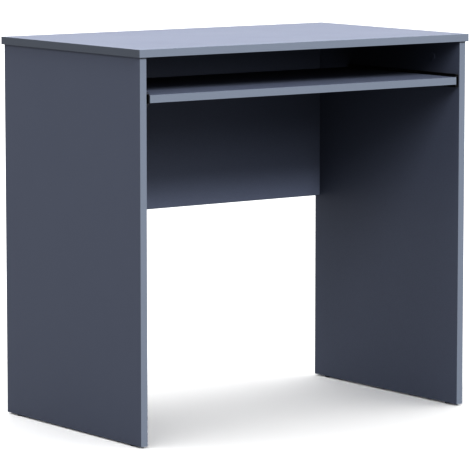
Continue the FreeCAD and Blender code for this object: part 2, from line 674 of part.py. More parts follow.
def cam_lock_master(doc):
    """A cam lock: its face at local Z 0, its bolt along local +X at half the board's thickness."""
    body = new_body(doc, "cam_lock_master")
    barrel = sketch_on(body, "XY_Plane")
    draw_circles(barrel, [("0", "0")], "cam_bore - 2 * lock_play")
    extrude(body, "Pad", "Barrel", barrel, "lock_height", reverse=True)
    chamber = sketch_on(body, "XY_Plane", "-board / 2 + lock_chamber_height / 2")
    draw_circles(chamber, [("0", "0")], "lock_chamber")
    extrude(body, "Pocket", "Chamber", chamber, "lock_chamber_height")
    throat = sketch_on(body, "YZ_Plane", "cam_bore / 2")
    low, high = (f"-board / 2 {sign} lock_throat_half" for sign in "-+")
    draw_rectangle(throat, "-lock_throat_half", low, "lock_throat_half", high)
    extrude(body, "Pocket", "Throat", throat, "cam_bore / 2")
    recess = sketch_on(body, "XY_Plane")
    draw_cross(recess, "lock_cross_reach", "lock_cross_half")
    extrude(body, "Pocket", "Recess", recess, "lock_cross_depth")
    arrow = sketch_on(body, "XY_Plane")
    wings = [("arrow_tip - arrow_length", f"{sign}arrow_length / 2") for sign in SIGNS]
    draw_polygon(arrow, [("arrow_tip", "0")] + wings)
    extrude(body, "Pocket", "Arrow", arrow, "arrow_depth")
    return body


def cam_bolt_master(doc):
    """A cam bolt along local Z: its head at 0, in the cam's centre, and its thread past the joint."""
    collar = "bolt_bore / 2 - lock_play"
    shank = [
        ("0", "-bolt_head_end"),
        ("bolt_head - bolt_bevel", "-bolt_head_end"),
        ("bolt_head", "bolt_bevel - bolt_head_end"),
        ("bolt_head", "bolt_head_start"),
        ("bolt_neck", "bolt_head_start + bolt_cone"),
        ("bolt_neck", "bolt_neck_end"),
        ("bolt_shank", "bolt_neck_end + bolt_bevel"),
        ("bolt_shank", "cam_reach - 2 * bolt_collar"),
        (collar, "cam_reach - bolt_collar"),
        (collar, "cam_reach"),
    ]
    turns = ALIASES["bolt_turns"]
    rings = thread("thread_bore / 2 - lock_play / 2", "bolt_core", "cam_reach", "bolt_lead", turns)
    tip = [("bolt_core", f"cam_reach + {turns} * bolt_lead"), ("0", "cam_reach + thread_depth - bore_spare")]
    return turned(doc, "cam_bolt_master", shank + rings + tip)


def cover_cap_master(doc):
    """A cover cap: a thin disc on the board's face with a cross-shaped plug in the cam's recess."""
    rim = "(cam_bore / 2 + cap_rim)"
    bevel = [(rim, "cap_height - cap_round"), (f"{rim} - cap_round", "cap_height")]
    body = turned(doc, "cover_cap_master", [("0", "0"), (rim, "0")] + bevel + [("0", "cap_height")])
    plug = sketch_on(body, "XY_Plane")
    draw_cross(plug, "lock_cross_reach - 2 * lock_play", "lock_cross_half - lock_play")
    extrude(body, "Pad", "Plug", plug, "cap_plug", reverse=True)
    return body


def cam_joints(doc):
    """Cam locks, their bolts and the cover caps, at the top's joints and the back panel's joints."""
    lock = cam_lock_master(doc)
    bolt = cam_bolt_master(doc)
    cap = cover_cap_master(doc)
    top_locks, top_bolts, top_caps, back_locks, back_bolts = [], [], [], [], []
    for side, sign in SIDES:
        right = side == "right"
        facing_in = Rotation(Y_AXIS, -90) if right else Rotation(Vector(1, 0, 1), 180)
        facing_back = Rotation(X_AXIS, -90) if right else Rotation(Vector(0, 1, 1), 180)
        for inset in SIDE_CAMS:
            y = f"{FRONT_Y} + {inset}"
            z = f"{TOP_Z} - cam_reach"
            top_locks.append(copy_of(doc, lock, f"{sign}{INNER_X}", y, z, facing_in))
            top_caps.append(copy_of(doc, cap, f"{sign}{INNER_X}", y, z, facing_in))
            top_bolts.append(copy_of(doc, bolt, f"{sign}({INNER_X} + board / 2)", y, z))
        for height in BACK_CAMS:
            x = f"{sign}({INNER_X} - cam_reach)"
            z = f"{TOP_Z} - back_height + {height}"
            outwards = Rotation(Y_AXIS, 90 if right else -90)
            back_locks.append(copy_of(doc, lock, x, BACK_Y, z, facing_back))
            back_bolts.append(copy_of(doc, bolt, x, f"{BACK_Y} - board / 2", z, outwards))
    return [
        group(doc, "side_cam_locks", top_locks),
        group(doc, "side_cam_bolts", top_bolts),
        group(doc, "side_cam_covers", top_caps),
        group(doc, "back_cam_locks", back_locks),
        group(doc, "back_cam_bolts", back_bolts),
    ]


def dowel_master(doc):
    """A fluted beech dowel along local Z, from its end in the board's edge."""
    body = new_body(doc, "dowel_master")
    section = sketch_on(body, "XY_Plane")
    draw_circles(section, [("0", "0")], "dowel_bore - dowel_fit")
    rod = extrude(body, "Pad", "Rod", section, "dowel_length")
    doc.recompute()
    chamfer = body.newObject("PartDesign::Chamfer", "EndChamfers")
    ends = [f"Edge{n}" for n, edge in enumerate(rod.Shape.Edges, start=1) if edge.BoundBox.ZLength < NO_LENGTH]
    chamfer.Base = (rod, ends)
    bind(chamfer, "Size", "dowel_chamfer")
    rim = [("dowel_bore / 2", "0")]
    flute = bore(body, "Flute", "XY_Plane", rim, "flute_width", "dowel_length", reverse=True)
    flutes = body.newObject("PartDesign::PolarPattern", "Flutes")
    flutes.Originals = [flute]
    flutes.Axis = (next(f for f in body.Origin.OriginFeatures if f.Role == "Z_Axis"), [""])
    flutes.Angle = 360
    bind(flutes, "Occurrences", "flute_count")
    body.Tip = flutes
    return body


def dowels(doc):
    """Dowels of the top's joints and of the back panel's ends."""
    dowel = dowel_master(doc)
    top_dowels, end_dowels = [], []
    for side, sign in SIDES:
        for inset in SIDE_DOWELS:
            x = f"{sign}({INNER_X} + board / 2)"
            top_dowels.append(copy_of(doc, dowel, x, f"{FRONT_Y} + {inset}", f"{TOP_Z} - {DOWEL_IN_EDGE}"))
        y = f"{BACK_Y} - board / 2"
        top_dowels.append(copy_of(doc, dowel, f"{sign}back_dowel_x", y, f"{TOP_Z} - {DOWEL_IN_EDGE}"))
        for height in BACK_DOWELS:
            x = f"{sign}({INNER_X} - {DOWEL_IN_EDGE})"
            z = f"{TOP_Z} - back_height + {height}"
            outwards = Rotation(Y_AXIS, 90 if side == "right" else -90)
            end_dowels.append(copy_of(doc, dowel, x, y, z, outwards))
    return [group(doc, "top_dowels", top_dowels), group(doc, "back_panel_dowels", end_dowels)]


# Floor glides


def glides(doc):
    """Four nailed plastic glides and their nails, under the ends of the uprights."""
    hole = "(nail_radius + nail_play)"
    profile = [
        (hole, "glide_seat"),
        ("nail_head + seat_play", "glide_seat"),
        ("nail_head + seat_play", "0"),
        ("glide_radius - glide_seat", "0"),
        ("glide_radius", "glide_seat"),
        ("glide_radius", "glide_height"),
        (hole, "glide_height"),
    ]
    tip = "glide_height + nail_length"
    nail_profile = [
        ("0", "glide_seat - nail_head_height"),
        ("nail_head", "glide_seat - nail_head_height"),
        ("nail_head", "glide_seat"),
        ("nail_radius", "glide_seat"),
        ("nail_radius", f"{tip} - 2 * nail_radius"),
        ("0", tip),
    ]
    nail = turned(doc, "nail_master", nail_profile)
    parts, nails = [], []
    for side, sign in SIDES:
        for end, y in (("front", f"{FRONT_Y} + glide_inset"), ("back", f"{BACK_Y} - glide_inset")):
            x = f"{sign}({INNER_X} + board / 2)"
            glide = turned(doc, f"{end}_{side}_glide", profile)
            place(glide, x, y)
            parts.append(glide)
            nails.append(copy_of(doc, nail, x, y, "0"))
    parts.append(group(doc, "glide_nails", nails))
    return parts


# Assembly, checks and export


def build(doc):
    """Every sub-part of the desk."""
    parts = [top_panel(doc), top_bands(doc), back_panel(doc), back_band(doc)]
    parts += [keyboard_tray(doc), tray_bands(doc), side_screws(doc), tray_screws(doc)]
    for side, sign in SIDES:
        parts.append(side_panel(doc, side, sign))
        parts.append(side_bands(doc, side))
        for make in (cabinet_member, tray_member, ball_cage, slide_balls, slide_buffer):
            parts.append(make(doc, side, sign))
    parts += cam_joints(doc) + dowels(doc) + glides(doc)
    doc.recompute()
    return parts


def check(doc, parts):
    """Stops if an object failed, a cut removed nothing, or a sub-part isn't a valid solid."""
    for obj in doc.Objects:
        if "Invalid" in obj.State or "Error" in obj.State:
            raise RuntimeError(f"{obj.Label} failed: {obj.State}")
        if obj.TypeId in ("PartDesign::Pocket", "PartDesign::SubtractiveCone"):
            removed = obj.BaseFeature.Shape.Volume - obj.Shape.Volume
            if removed < LEAST_CUT:
                raise RuntimeError(f"{obj.Label} cuts nothing")
    for part in parts:
        if part.Shape.isNull() or not part.Shape.isValid() or not part.Shape.Solids:
            raise RuntimeError(f"{part.Label} has no valid solid")


def export(parts):
    """Writes each sub-part's shape to its own STEP file."""
    os.makedirs("parts", exist_ok=True)
    for part in parts:
        part.Shape.exportStep(f"parts/{part.Label}.step")
        box = part.Shape.BoundBox
        size = f"{box.XLength:.1f} x {box.YLength:.1f} x {box.ZLength:.1f}"
        print(f"{part.Label}: {len(part.Shape.Solids)} solid(s), {size} mm")


desk = FreeCAD.newDocument("ComputerDesk")
write_sizes(desk)
sub_parts = build(desk)
check(desk, sub_parts)
export(sub_parts)
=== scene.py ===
import math

import bmesh
import bpy
from bpy.props import FloatProperty, FloatVectorProperty, PointerProperty
from mathutils import Matrix, Vector


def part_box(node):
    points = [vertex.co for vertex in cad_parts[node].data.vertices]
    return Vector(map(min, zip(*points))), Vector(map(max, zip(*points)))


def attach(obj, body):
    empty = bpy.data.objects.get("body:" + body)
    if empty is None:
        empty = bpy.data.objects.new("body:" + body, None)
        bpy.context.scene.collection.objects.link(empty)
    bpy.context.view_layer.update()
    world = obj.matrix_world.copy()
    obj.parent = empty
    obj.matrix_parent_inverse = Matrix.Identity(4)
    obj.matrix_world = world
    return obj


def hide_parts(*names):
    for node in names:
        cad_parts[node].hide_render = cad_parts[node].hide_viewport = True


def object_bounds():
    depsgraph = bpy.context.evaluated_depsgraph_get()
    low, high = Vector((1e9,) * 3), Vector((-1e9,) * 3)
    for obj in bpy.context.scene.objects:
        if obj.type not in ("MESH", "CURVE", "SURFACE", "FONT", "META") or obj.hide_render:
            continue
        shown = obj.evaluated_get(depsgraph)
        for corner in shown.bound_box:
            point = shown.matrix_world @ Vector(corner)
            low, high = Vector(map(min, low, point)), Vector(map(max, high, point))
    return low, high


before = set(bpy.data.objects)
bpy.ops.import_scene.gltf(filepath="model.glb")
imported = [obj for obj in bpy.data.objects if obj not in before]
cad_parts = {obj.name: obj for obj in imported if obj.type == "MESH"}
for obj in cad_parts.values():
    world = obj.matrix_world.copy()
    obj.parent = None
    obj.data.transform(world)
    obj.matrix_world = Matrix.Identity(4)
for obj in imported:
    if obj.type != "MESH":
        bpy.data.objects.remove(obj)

bl_info = {
    "name": "Computer desk",
    "version": (1, 0, 0),
    "blender": (4, 5, 0),
    "location": "3D View > Sidebar > Desk",
    "description": "Finishes a panel desk with a pull-out keyboard tray and sets it in a plain studio",
    "category": "Object",
}

CAD_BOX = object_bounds()
MM = 0.001
SIDES = ("left", "right")
X, Y, Z = 0, 1, 2

# Pattern sizes in millimetres.
PEARL_GRAIN = 1.2
PRINT_CLOUD = 35
GLOSS_DRIFT = 140
SURFACE_CHIP = 2.2
SCRAPED_LINE = 1.5
ROLLED_LINE = 0.8
BEECH_FLECK = 1.2
ROLLER_STIPPLE = 6
FLOOR_CLOUD = 900

# A pattern's scale along the way that it is drawn out.
SCRAPED_SQUEEZE = 0.02
ROLLED_SQUEEZE = 0.03
BEECH_SQUEEZE = 0.12

# Depths of relief in metres.
FINE_RELIEF = 0.02 * MM
MOULD_RELIEF = 0.05 * MM
BOARD_RELIEF = 0.1 * MM

# How much a pattern changes what it lies on.
PRINT_CHANGE = 0.015
FLECK_CHANGE = 0.1
GLUE_SHADE = 0.45
BAND_CHANGE = 0.03
COAT_CHANGE = 0.3
COAT_GLOSS_CHANGE = 0.08
METAL_DARK = 0.7
METAL_LIGHT = 1.25
METAL_GLOSS_CHANGE = 0.3
MOULD_CHANGE = 0.1
MOULD_GLOSS_CHANGE = 0.06
FLOOR_CHANGE = 0.01
FACING_GLOSS_CHANGE = 0.03
SAWN_ROUGHNESS = 0.9
PEARL_RELIEF = 0.45
CHIP_RELIEF = 0.8

# Segments that keep a turned edge round in a close view.
LATHE_STEPS = 72
NAIL_STEPS = 40
FLOOR_STEPS = 128
FLOOR_RADIUS = 40
SHARP_EDGE = math.radians(35)


# Colours, nodes and coordinates


def colour(hex_code):
    """An sRGB hex colour as linear red, green, blue and alpha."""
    channels = []
    for start in (0, 2, 4):
        value = int(hex_code[start:start + 2], 16) / 255
        channels.append(value / 12.92 if value <= 0.04045 else ((value + 0.055) / 1.055) ** 2.4)
    return (*channels, 1.0)


def shade(rgba, factor):
    """A colour made lighter or darker."""
    return (*(channel * factor for channel in rgba[:3]), 1.0)


def add(tree, kind, inputs=None, **settings):
    """Adds a node, sets its properties, and gives its inputs their values or links."""
    made = tree.nodes.new(kind)
    for name, value in settings.items():
        setattr(made, name, value)
    for socket, value in (inputs or {}).items():
        if isinstance(value, bpy.types.NodeSocket):
            tree.links.new(value, made.inputs[socket])
        else:
            made.inputs[socket].default_value = value
    return made


def start_material(name, **values):
    """A new material: the material, its node tree, its Principled shader and its object coordinates."""
    material = bpy.data.materials.new(name)
    material.use_nodes = True
    tree = material.node_tree
    shader = tree.nodes["Principled BSDF"]
    for socket, value in values.items():
        shader.inputs[socket.replace("_", " ")].default_value = value
    place = add(tree, "ShaderNodeTexCoord").outputs["Object"]
    return material, tree, shader, place


def per_mm(size):
    """A texture's scale for a pattern of this size in millimetres."""
    return 1 / (size * MM)


def feed(tree, shader, tint, roughness, bump):
    """Links a shader's colour, roughness and relief, whose outputs vary over the surface."""
    tree.links.new(tint, shader.inputs["Base Color"])
    tree.links.new(roughness, shader.inputs["Roughness"])
    tree.links.new(bump.outputs[0], shader.inputs["Normal"])


def paint(objects, material):
    """Gives the objects one material in place of what they had."""
    for obj in objects:
        obj.data.materials.clear()
        obj.data.materials.append(material)


def nodes_named(*names):
    """CAD nodes by name."""
    return [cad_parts[name] for name in names]


# Meshes


def round_corners(corners, steps=6):
    """An outline's points, from corners given as across, up and the length that the rounding takes."""
    points = []
    for number, (across, up, cut) in enumerate(corners):
        here = Vector((across, up))
        if not cut:
            points.append(here)
            continue
        before = Vector(corners[number - 1][:2])
        after = Vector(corners[(number + 1) % len(corners)][:2])
        start = here + (before - here).normalized() * cut
        end = here + (after - here).normalized() * cut
        for step in range(steps + 1):
            way = step / steps
            points.append(start.lerp(here, way).lerp(here.lerp(end, way), way))
    return points


def turn_on_lathe(shape, profile, closed=False, segments=LATHE_STEPS):
    """Turns a profile, given as radius and height, round the Z axis."""
    rim = [shape.verts.new((radius, 0, height)) for radius, height in profile]
    pairs = list(zip(rim, rim[1:])) + ([(rim[-1], rim[0])] if closed else [])
    line = rim + [shape.edges.new(pair) for pair in pairs]
    bmesh.ops.spin(
        shape, geom=line, cent=(0, 0, 0), axis=(0, 0, 1), angle=math.tau, steps=segments,
        use_duplicate=False
    )


def press_out(shape, outline, low, high, axes=(X, Y, Z)):
    """Extrudes an outline in the first two of the given axes along the third, from low to high."""
    corners = []
    for point in outline:
        place = [0, 0, 0]
        place[axes[0]], place[axes[1]], place[axes[2]] = point[0], point[1], low
        corners.append(shape.verts.new(place))
    made = bmesh.ops.extrude_face_region(shape, geom=[shape.faces.new(corners)])
    moved = [vert for vert in made["geom"] if isinstance(vert, bmesh.types.BMVert)]
    along = Vector((0, 0, 0))
    along[axes[2]] = high - low
    bmesh.ops.translate(shape, verts=moved, vec=along)


def finish_piece(name, shape, places, material, node, body):
    """Joins copies of a small shape, set at their places, into the piece that stands for a CAD node."""
    bmesh.ops.remove_doubles(shape, verts=shape.verts, dist=0.001 * MM)
    bmesh.ops.recalc_face_normals(shape, faces=shape.faces)
    single = bpy.data.meshes.new(f"{name}_single")
    shape.to_mesh(single)
    shape.free()
    joined = bmesh.new()
    for place in places:
        copy = single.copy()
        copy.transform(place)
        joined.from_mesh(copy)
        bpy.data.meshes.remove(copy)
    mesh = bpy.data.meshes.new(name)
    joined.to_mesh(mesh)
    joined.free()
    bpy.data.meshes.remove(single)
    mesh.shade_smooth()
    mesh.set_sharp_from_angle(angle=SHARP_EDGE)
    mesh.materials.append(material)
    piece = bpy.data.objects.new(name, mesh)
    bpy.context.scene.collection.objects.link(piece)
    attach(piece, body)
    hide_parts(node)
    return piece


# Boards


def distance_inside(tree, place, axis, low, high):
    """Distance along an axis from the nearer end of the board's box."""
    across = add(tree, "ShaderNodeSeparateXYZ", {0: place}).outputs[axis]
    from_low = add(tree, "ShaderNodeMath", {0: across, 1: low[axis]}, operation="SUBTRACT").outputs[0]
    from_high = add(tree, "ShaderNodeMath", {0: high[axis], 1: across}, operation="SUBTRACT").outputs[0]
    return add(tree, "ShaderNodeMath", {0: from_low, 1: from_high}, operation="MINIMUM").outputs[0]


def melamine_faced_chipboard(name, thickness_axis, low, high, settings, foot=None):
    """Chipboard with decor paper pressed on in melamine resin between matt steel plates.

    The facing is even and matt, with a fine pearl grain and a gloss that drifts a little over the board.
    A thin dark line of hot-melt glue parts it from the edge bands. Where the board is sawn or bored, its
    chips show between the two facings. An upright's foot is sealed with a paper edge in the same decor.
    """
    material, tree, shader, place = start_material(name, Specular_IOR_Level=settings.facing_gloss)
    depth = distance_inside(tree, place, thickness_axis, low, high)
    edge_axes = [axis for axis in (X, Y, Z) if axis != thickness_axis]
    from_edges = [distance_inside(tree, place, axis, low, high) for axis in edge_axes]
    from_edge = add(tree, "ShaderNodeMath", dict(enumerate(from_edges)), operation="MINIMUM").outputs[0]
    glued = add(tree, "ShaderNodeMath", {
        0: from_edge,
        1: settings.glue_line,
    }, operation="LESS_THAN").outputs[0]
    if foot is not None:
        height = add(tree, "ShaderNodeSeparateXYZ", {0: place}).outputs[Z]
        above = add(tree, "ShaderNodeMath", {0: height, 1: foot}, operation="SUBTRACT").outputs[0]
        depth = add(tree, "ShaderNodeMath", {0: depth, 1: above}, operation="MINIMUM").outputs[0]
    cut = add(tree, "ShaderNodeMath", {
        0: depth,
        1: settings.facing_thickness,
    }, operation="GREATER_THAN").outputs[0]

    # A pearl grain is 0.3 to 0.6 mm; it is drawn twice as coarse so that it still shows.
    grain = add(tree, "ShaderNodeTexNoise", {
        "Vector": place,
        "Scale": per_mm(PEARL_GRAIN),
        "Detail": 2.0,
    })
    drift = add(tree, "ShaderNodeTexNoise", {
        "Vector": place,
        "Scale": per_mm(GLOSS_DRIFT),
        "Detail": 1.0,
    })
    print_tone = add(tree, "ShaderNodeTexNoise", {
        "Vector": place,
        "Scale": per_mm(PRINT_CLOUD),
        "Detail": 3.0,
    })
    tone = add(tree, "ShaderNodeMix", {
        0: print_tone.outputs["Fac"],
        6: shade(settings.decor, 1 - PRINT_CHANGE),
        7: shade(settings.decor, 1 + PRINT_CHANGE),
    }, data_type="RGBA").outputs[2]

    # Surface chips of the board are 1 to 3 mm, and its core's are coarser.
    chips = add(tree, "ShaderNodeTexVoronoi", {
        "Vector": place,
        "Scale": per_mm(SURFACE_CHIP),
        "Randomness": 1.0,
    })
    chip = add(tree, "ShaderNodeSeparateColor", {0: chips.outputs["Color"]})
    wood = add(tree, "ShaderNodeMix", {
        0: chip.outputs[0],
        6: settings.chip_dark,
        7: settings.chip_light,
    }, data_type="RGBA").outputs[2]

    flecks = add(tree, "ShaderNodeMapRange", {
        "Value": grain.outputs["Fac"],
        "From Min": 0.3,
        "From Max": 0.7,
        "To Min": 1 - FLECK_CHANGE,
        "To Max": 1 + FLECK_CHANGE,
    }).outputs[0]
    printed = add(tree, "ShaderNodeVectorMath", {0: tone, "Scale": flecks}, operation="SCALE").outputs[0]
    seamed = add(tree, "ShaderNodeMix", {
        0: glued,
        6: printed,
        7: shade(settings.decor, GLUE_SHADE),
    }, data_type="RGBA").outputs[2]
    shown = add(tree, "ShaderNodeMix", {0: cut, 6: seamed, 7: wood}, data_type="RGBA").outputs[2]
    gloss = add(tree, "ShaderNodeMapRange", {
        "Value": drift.outputs["Fac"],
        "To Min": settings.facing_roughness - FACING_GLOSS_CHANGE,
        "To Max": settings.facing_roughness + FACING_GLOSS_CHANGE,
    }).outputs[0]
    rough = add(tree, "ShaderNodeMix", {0: cut, 2: gloss, 3: SAWN_ROUGHNESS}).outputs[0]
    relief = add(tree, "ShaderNodeMix", {
        0: cut,
        2: grain.outputs["Fac"],
        3: chips.outputs["Distance"],
    }).outputs[0]
    strength = add(tree, "ShaderNodeMix", {0: cut, 2: PEARL_RELIEF, 3: CHIP_RELIEF}).outputs[0]
    bump = add(tree, "ShaderNodeBump", {
        "Height": relief,
        "Strength": strength,
        "Distance": BOARD_RELIEF,
    })
    feed(tree, shader, shown, rough, bump)
    return material


class BoardSettings(bpy.types.PropertyGroup):
    """The boards' facing and core."""

    decor: FloatVectorProperty(
        name="Decor", description="Colour of the decor paper", size=4, subtype="COLOR",
        default=colour("3B3F4A")
    )
    facing_thickness: FloatProperty(
        name="Facing", description="Thickness of the facing", default=0.3 * MM, subtype="DISTANCE",
        unit="LENGTH"
    )
    glue_line: FloatProperty(
        name="Glue line", description="Width of the glue line at the edges", default=0.2 * MM,
        subtype="DISTANCE", unit="LENGTH"
    )
    facing_roughness: FloatProperty(
        name="Roughness", description="Roughness of the facing", default=0.48, min=0, max=1,
        subtype="FACTOR"
    )
    facing_gloss: FloatProperty(
        name="Gloss", description="Specular level of the facing", default=0.1, min=0, max=1,
        subtype="FACTOR"
    )
    chip_light: FloatVectorProperty(
        name="Light chips", description="Colour of the light chips", size=4, subtype="COLOR",
        default=colour("C2A67C")
    )
    chip_dark: FloatVectorProperty(
        name="Dark chips", description="Colour of the dark chips", size=4, subtype="COLOR",
        default=colour("8A6B45")
    )


class DESK_OT_boards(bpy.types.Operator):
    """Face the five boards with melamine, and show chipboard where they are cut"""

    bl_idname = "desk.boards"
    bl_label = "Face the boards"

    def execute(self, context):
        boards = {
            "top_panel": Z,
            "keyboard_tray": Z,
            "back_panel": Y,
            "left_side_panel": X,
            "right_side_panel": X,
        }
        for node, axis in boards.items():
            low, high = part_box(node)
            foot = low.z if node.endswith("side_panel") else None
            name = f"melamine_faced_chipboard_{node}"
            material = melamine_faced_chipboard(name, axis, low, high, context.scene.desk_boards, foot)
            paint(nodes_named(node), material)
        return {"FINISHED"}


# Edge bands


def abs_edge_band(name, along, settings):
    """Extruded ABS strip, printed in the decor's colour and lacquered matt.

    It is a touch glossier than the facing, and the scraper that trims it leaves faint marks along it.
    """
    material, tree, shader, place = start_material(name, Specular_IOR_Level=settings.band_gloss)
    stretch = [1.0, 1.0, 1.0]
    for axis in along:
        stretch[axis] = SCRAPED_SQUEEZE
    drawn = add(tree, "ShaderNodeMapping", {"Vector": place, "Scale": stretch}).outputs[0]
    lines = add(tree, "ShaderNodeTexNoise", {
        "Vector": drawn,
        "Scale": per_mm(SCRAPED_LINE),
        "Detail": 2.0,
    })
    tone = add(tree, "ShaderNodeMix", {
        0: lines.outputs["Fac"],
        6: shade(settings.band, 1 - BAND_CHANGE),
        7: shade(settings.band, 1 + BAND_CHANGE),
    }, data_type="RGBA").outputs[2]
    gloss = add(tree, "ShaderNodeMapRange", {
        "Value": lines.outputs["Fac"],
        "To Min": settings.band_roughness - 0.03,
        "To Max": settings.band_roughness + 0.05,
    }).outputs[0]
    bump = add(tree, "ShaderNodeBump", {
        "Height": lines.outputs["Fac"],
        "Strength": 0.08,
        "Distance": FINE_RELIEF,
    })
    feed(tree, shader, tone, gloss, bump)
    return material


class BandSettings(bpy.types.PropertyGroup):
    """The edge bands' colour and gloss."""

    band: FloatVectorProperty(
        name="Band", description="Colour of the edge bands", size=4, subtype="COLOR",
        default=colour("3B3F46")
    )
    band_roughness: FloatProperty(
        name="Roughness", description="Roughness of the edge bands", default=0.44, min=0, max=1,
        subtype="FACTOR"
    )
    band_gloss: FloatProperty(
        name="Gloss", description="Specular level of the edge bands", default=0.1, min=0, max=1,
        subtype="FACTOR"
    )


class DESK_OT_edge_bands(bpy.types.Operator):
    """Give the edge bands their extruded and scraped finish"""

    bl_idname = "desk.edge_bands"
    bl_label = "Band the edges"

    def execute(self, context):
        settings = context.scene.desk_bands
        level = abs_edge_band("ABS_edge_band_level", (X, Y), settings)
        upright = abs_edge_band("ABS_edge_band_upright", (Z,), settings)
        paint(nodes_named("top_edge_bands", "tray_edge_bands", "back_panel_edge_band"), level)
        paint(nodes_named("left_side_edge_bands", "right_side_edge_bands"), upright)
        return {"FINISHED"}


# Slides


class SlideSettings(bpy.types.PropertyGroup):
    """The slides' finishes and their buffers."""

    coat: FloatVectorProperty(
        name="Coat", description="Colour of the slides' coat", size=4, subtype="COLOR",
        default=colour("0E0E10")
    )
    coat_roughness: FloatProperty(
        name="Roughness", description="Roughness of the slides' coat", default=0.4, min=0, max=1,
        subtype="FACTOR"
    )
    zinc: FloatVectorProperty(
        name="Cage", description="Colour of the ball cages", size=4, subtype="COLOR",
        default=colour("AEB0B3")
    )
    bearing: FloatVectorProperty(
        name="Balls", description="Colour of the balls", size=4, subtype="COLOR", default=colour("D2D3D4")
    )
    rubber: FloatVectorProperty(
        name="Rubber", description="Colour of the buffers", size=4, subtype="COLOR",
        default=colour("1B1B1C")
    )
    buffer_nose: FloatProperty(
        name="Buffer nose", description="Height of a buffer's nose", default=10 * MM, subtype="DISTANCE",
        unit="LENGTH"
    )


def coated_steel(settings):
    """Cold-rolled steel, roll-formed and dip-coated by electrophoresis.

    The coat is thin, black and satin, and shows the rolls' fine lines along the member.
    """
    material, tree, shader, place = start_material("black_electrocoated_steel", Specular_IOR_Level=0.3)
    drawn = add(tree, "ShaderNodeMapping", {
        "Vector": place,
        "Scale": (1.0, ROLLED_SQUEEZE, 1.0),
    }).outputs[0]
    lines = add(tree, "ShaderNodeTexNoise", {
        "Vector": drawn,
        "Scale": per_mm(ROLLED_LINE),
        "Detail": 3.0,
    })
    tone = add(tree, "ShaderNodeMix", {
        0: lines.outputs["Fac"],
        6: shade(settings.coat, 1 - COAT_CHANGE),
        7: shade(settings.coat, 1 + COAT_CHANGE),
    }, data_type="RGBA").outputs[2]
    gloss = add(tree, "ShaderNodeMapRange", {
        "Value": lines.outputs["Fac"],
        "To Min": settings.coat_roughness - COAT_GLOSS_CHANGE,
        "To Max": settings.coat_roughness + COAT_GLOSS_CHANGE,
    }).outputs[0]
    bump = add(tree, "ShaderNodeBump", {
        "Height": lines.outputs["Fac"],
        "Strength": 0.2,
        "Distance": FINE_RELIEF,
    })
    feed(tree, shader, tone, gloss, bump)
    return material


def metal(name, tint, roughness, spangle, bump_strength):
    """A bare or plated metal, whose tone and gloss vary together over patches as wide as its spangle.

    The spangle is in millimetres, and the relief is four times as fine.
    """
    material, tree, shader, place = start_material(name, Metallic=1.0)
    patches = add(tree, "ShaderNodeTexNoise", {"Vector": place, "Scale": per_mm(spangle), "Detail": 4.0})
    tone = add(tree, "ShaderNodeMix", {
        0: patches.outputs["Fac"],
        6: shade(tint, METAL_DARK),
        7: shade(tint, METAL_LIGHT),
    }, data_type="RGBA").outputs[2]
    gloss = add(tree, "ShaderNodeMapRange", {
        "Value": patches.outputs["Fac"],
        "To Min": roughness * (1 + METAL_GLOSS_CHANGE),
        "To Max": roughness * (1 - METAL_GLOSS_CHANGE),
    }).outputs[0]
    relief = add(tree, "ShaderNodeTexNoise", {
        "Vector": place,
        "Scale": per_mm(spangle / 4),
        "Detail": 2.0,
    })
    bump = add(tree, "ShaderNodeBump", {
        "Height": relief.outputs["Fac"],
        "Strength": bump_strength,
        "Distance": FINE_RELIEF,
    })
    feed(tree, shader, tone, gloss, bump)
    return material


def plastic(name, tint, roughness, texture, bump_strength, **values):
    """A moulded plastic or rubber: an even colour with the mould's eroded texture.

    The texture is in millimetres, and its colour and gloss drift over clouds twelve times as wide.
    """
    material, tree, shader, place = start_material(name, **values)
    sparks = add(tree, "ShaderNodeTexVoronoi", {"Vector": place, "Scale": per_mm(texture)})
    cloud = add(tree, "ShaderNodeTexNoise", {
        "Vector": place,
        "Scale": per_mm(texture * 12),
        "Detail": 2.0,
    })
    tone = add(tree, "ShaderNodeMix", {
        0: cloud.outputs["Fac"],
        6: shade(tint, 1 - MOULD_CHANGE),
        7: shade(tint, 1 + MOULD_CHANGE),
    }, data_type="RGBA").outputs[2]
    gloss = add(tree, "ShaderNodeMapRange", {
        "Value": cloud.outputs["Fac"],
        "To Min": roughness - MOULD_GLOSS_CHANGE,
        "To Max": roughness + MOULD_GLOSS_CHANGE,
    }).outputs[0]
    bump = add(tree, "ShaderNodeBump", {
        "Height": sparks.outputs["Distance"],
        "Strength": bump_strength,
        "Distance": MOULD_RELIEF,
    })
    feed(tree, shader, tone, gloss, bump)
    return material


class DESK_OT_slides(bpy.types.Operator):
    """Finish the ball-bearing slides"""

    bl_idname = "desk.slides"
    bl_label = "Finish the slides"

    def execute(self, context):
        settings = context.scene.desk_slides
        coat = coated_steel(settings)
        # Strip galvanised before it is punched: a cool grey with a broad, faint spangle.
        zinc = metal("zinc_plated_steel_strip", settings.zinc, roughness=0.3, spangle=4, bump_strength=0.1)
        # Hardened balls, ground and lapped: small bright mirrors.
        bearing = metal(
            "polished_bearing_steel", settings.bearing, roughness=0.08, spangle=2, bump_strength=0.02
        )
        for side in SIDES:
            paint(nodes_named(f"{side}_slide_cabinet_member", f"{side}_slide_tray_member"), coat)
            paint(nodes_named(f"{side}_ball_cage"), zinc)
            paint(nodes_named(f"{side}_slide_balls"), bearing)
        return {"FINISHED"}


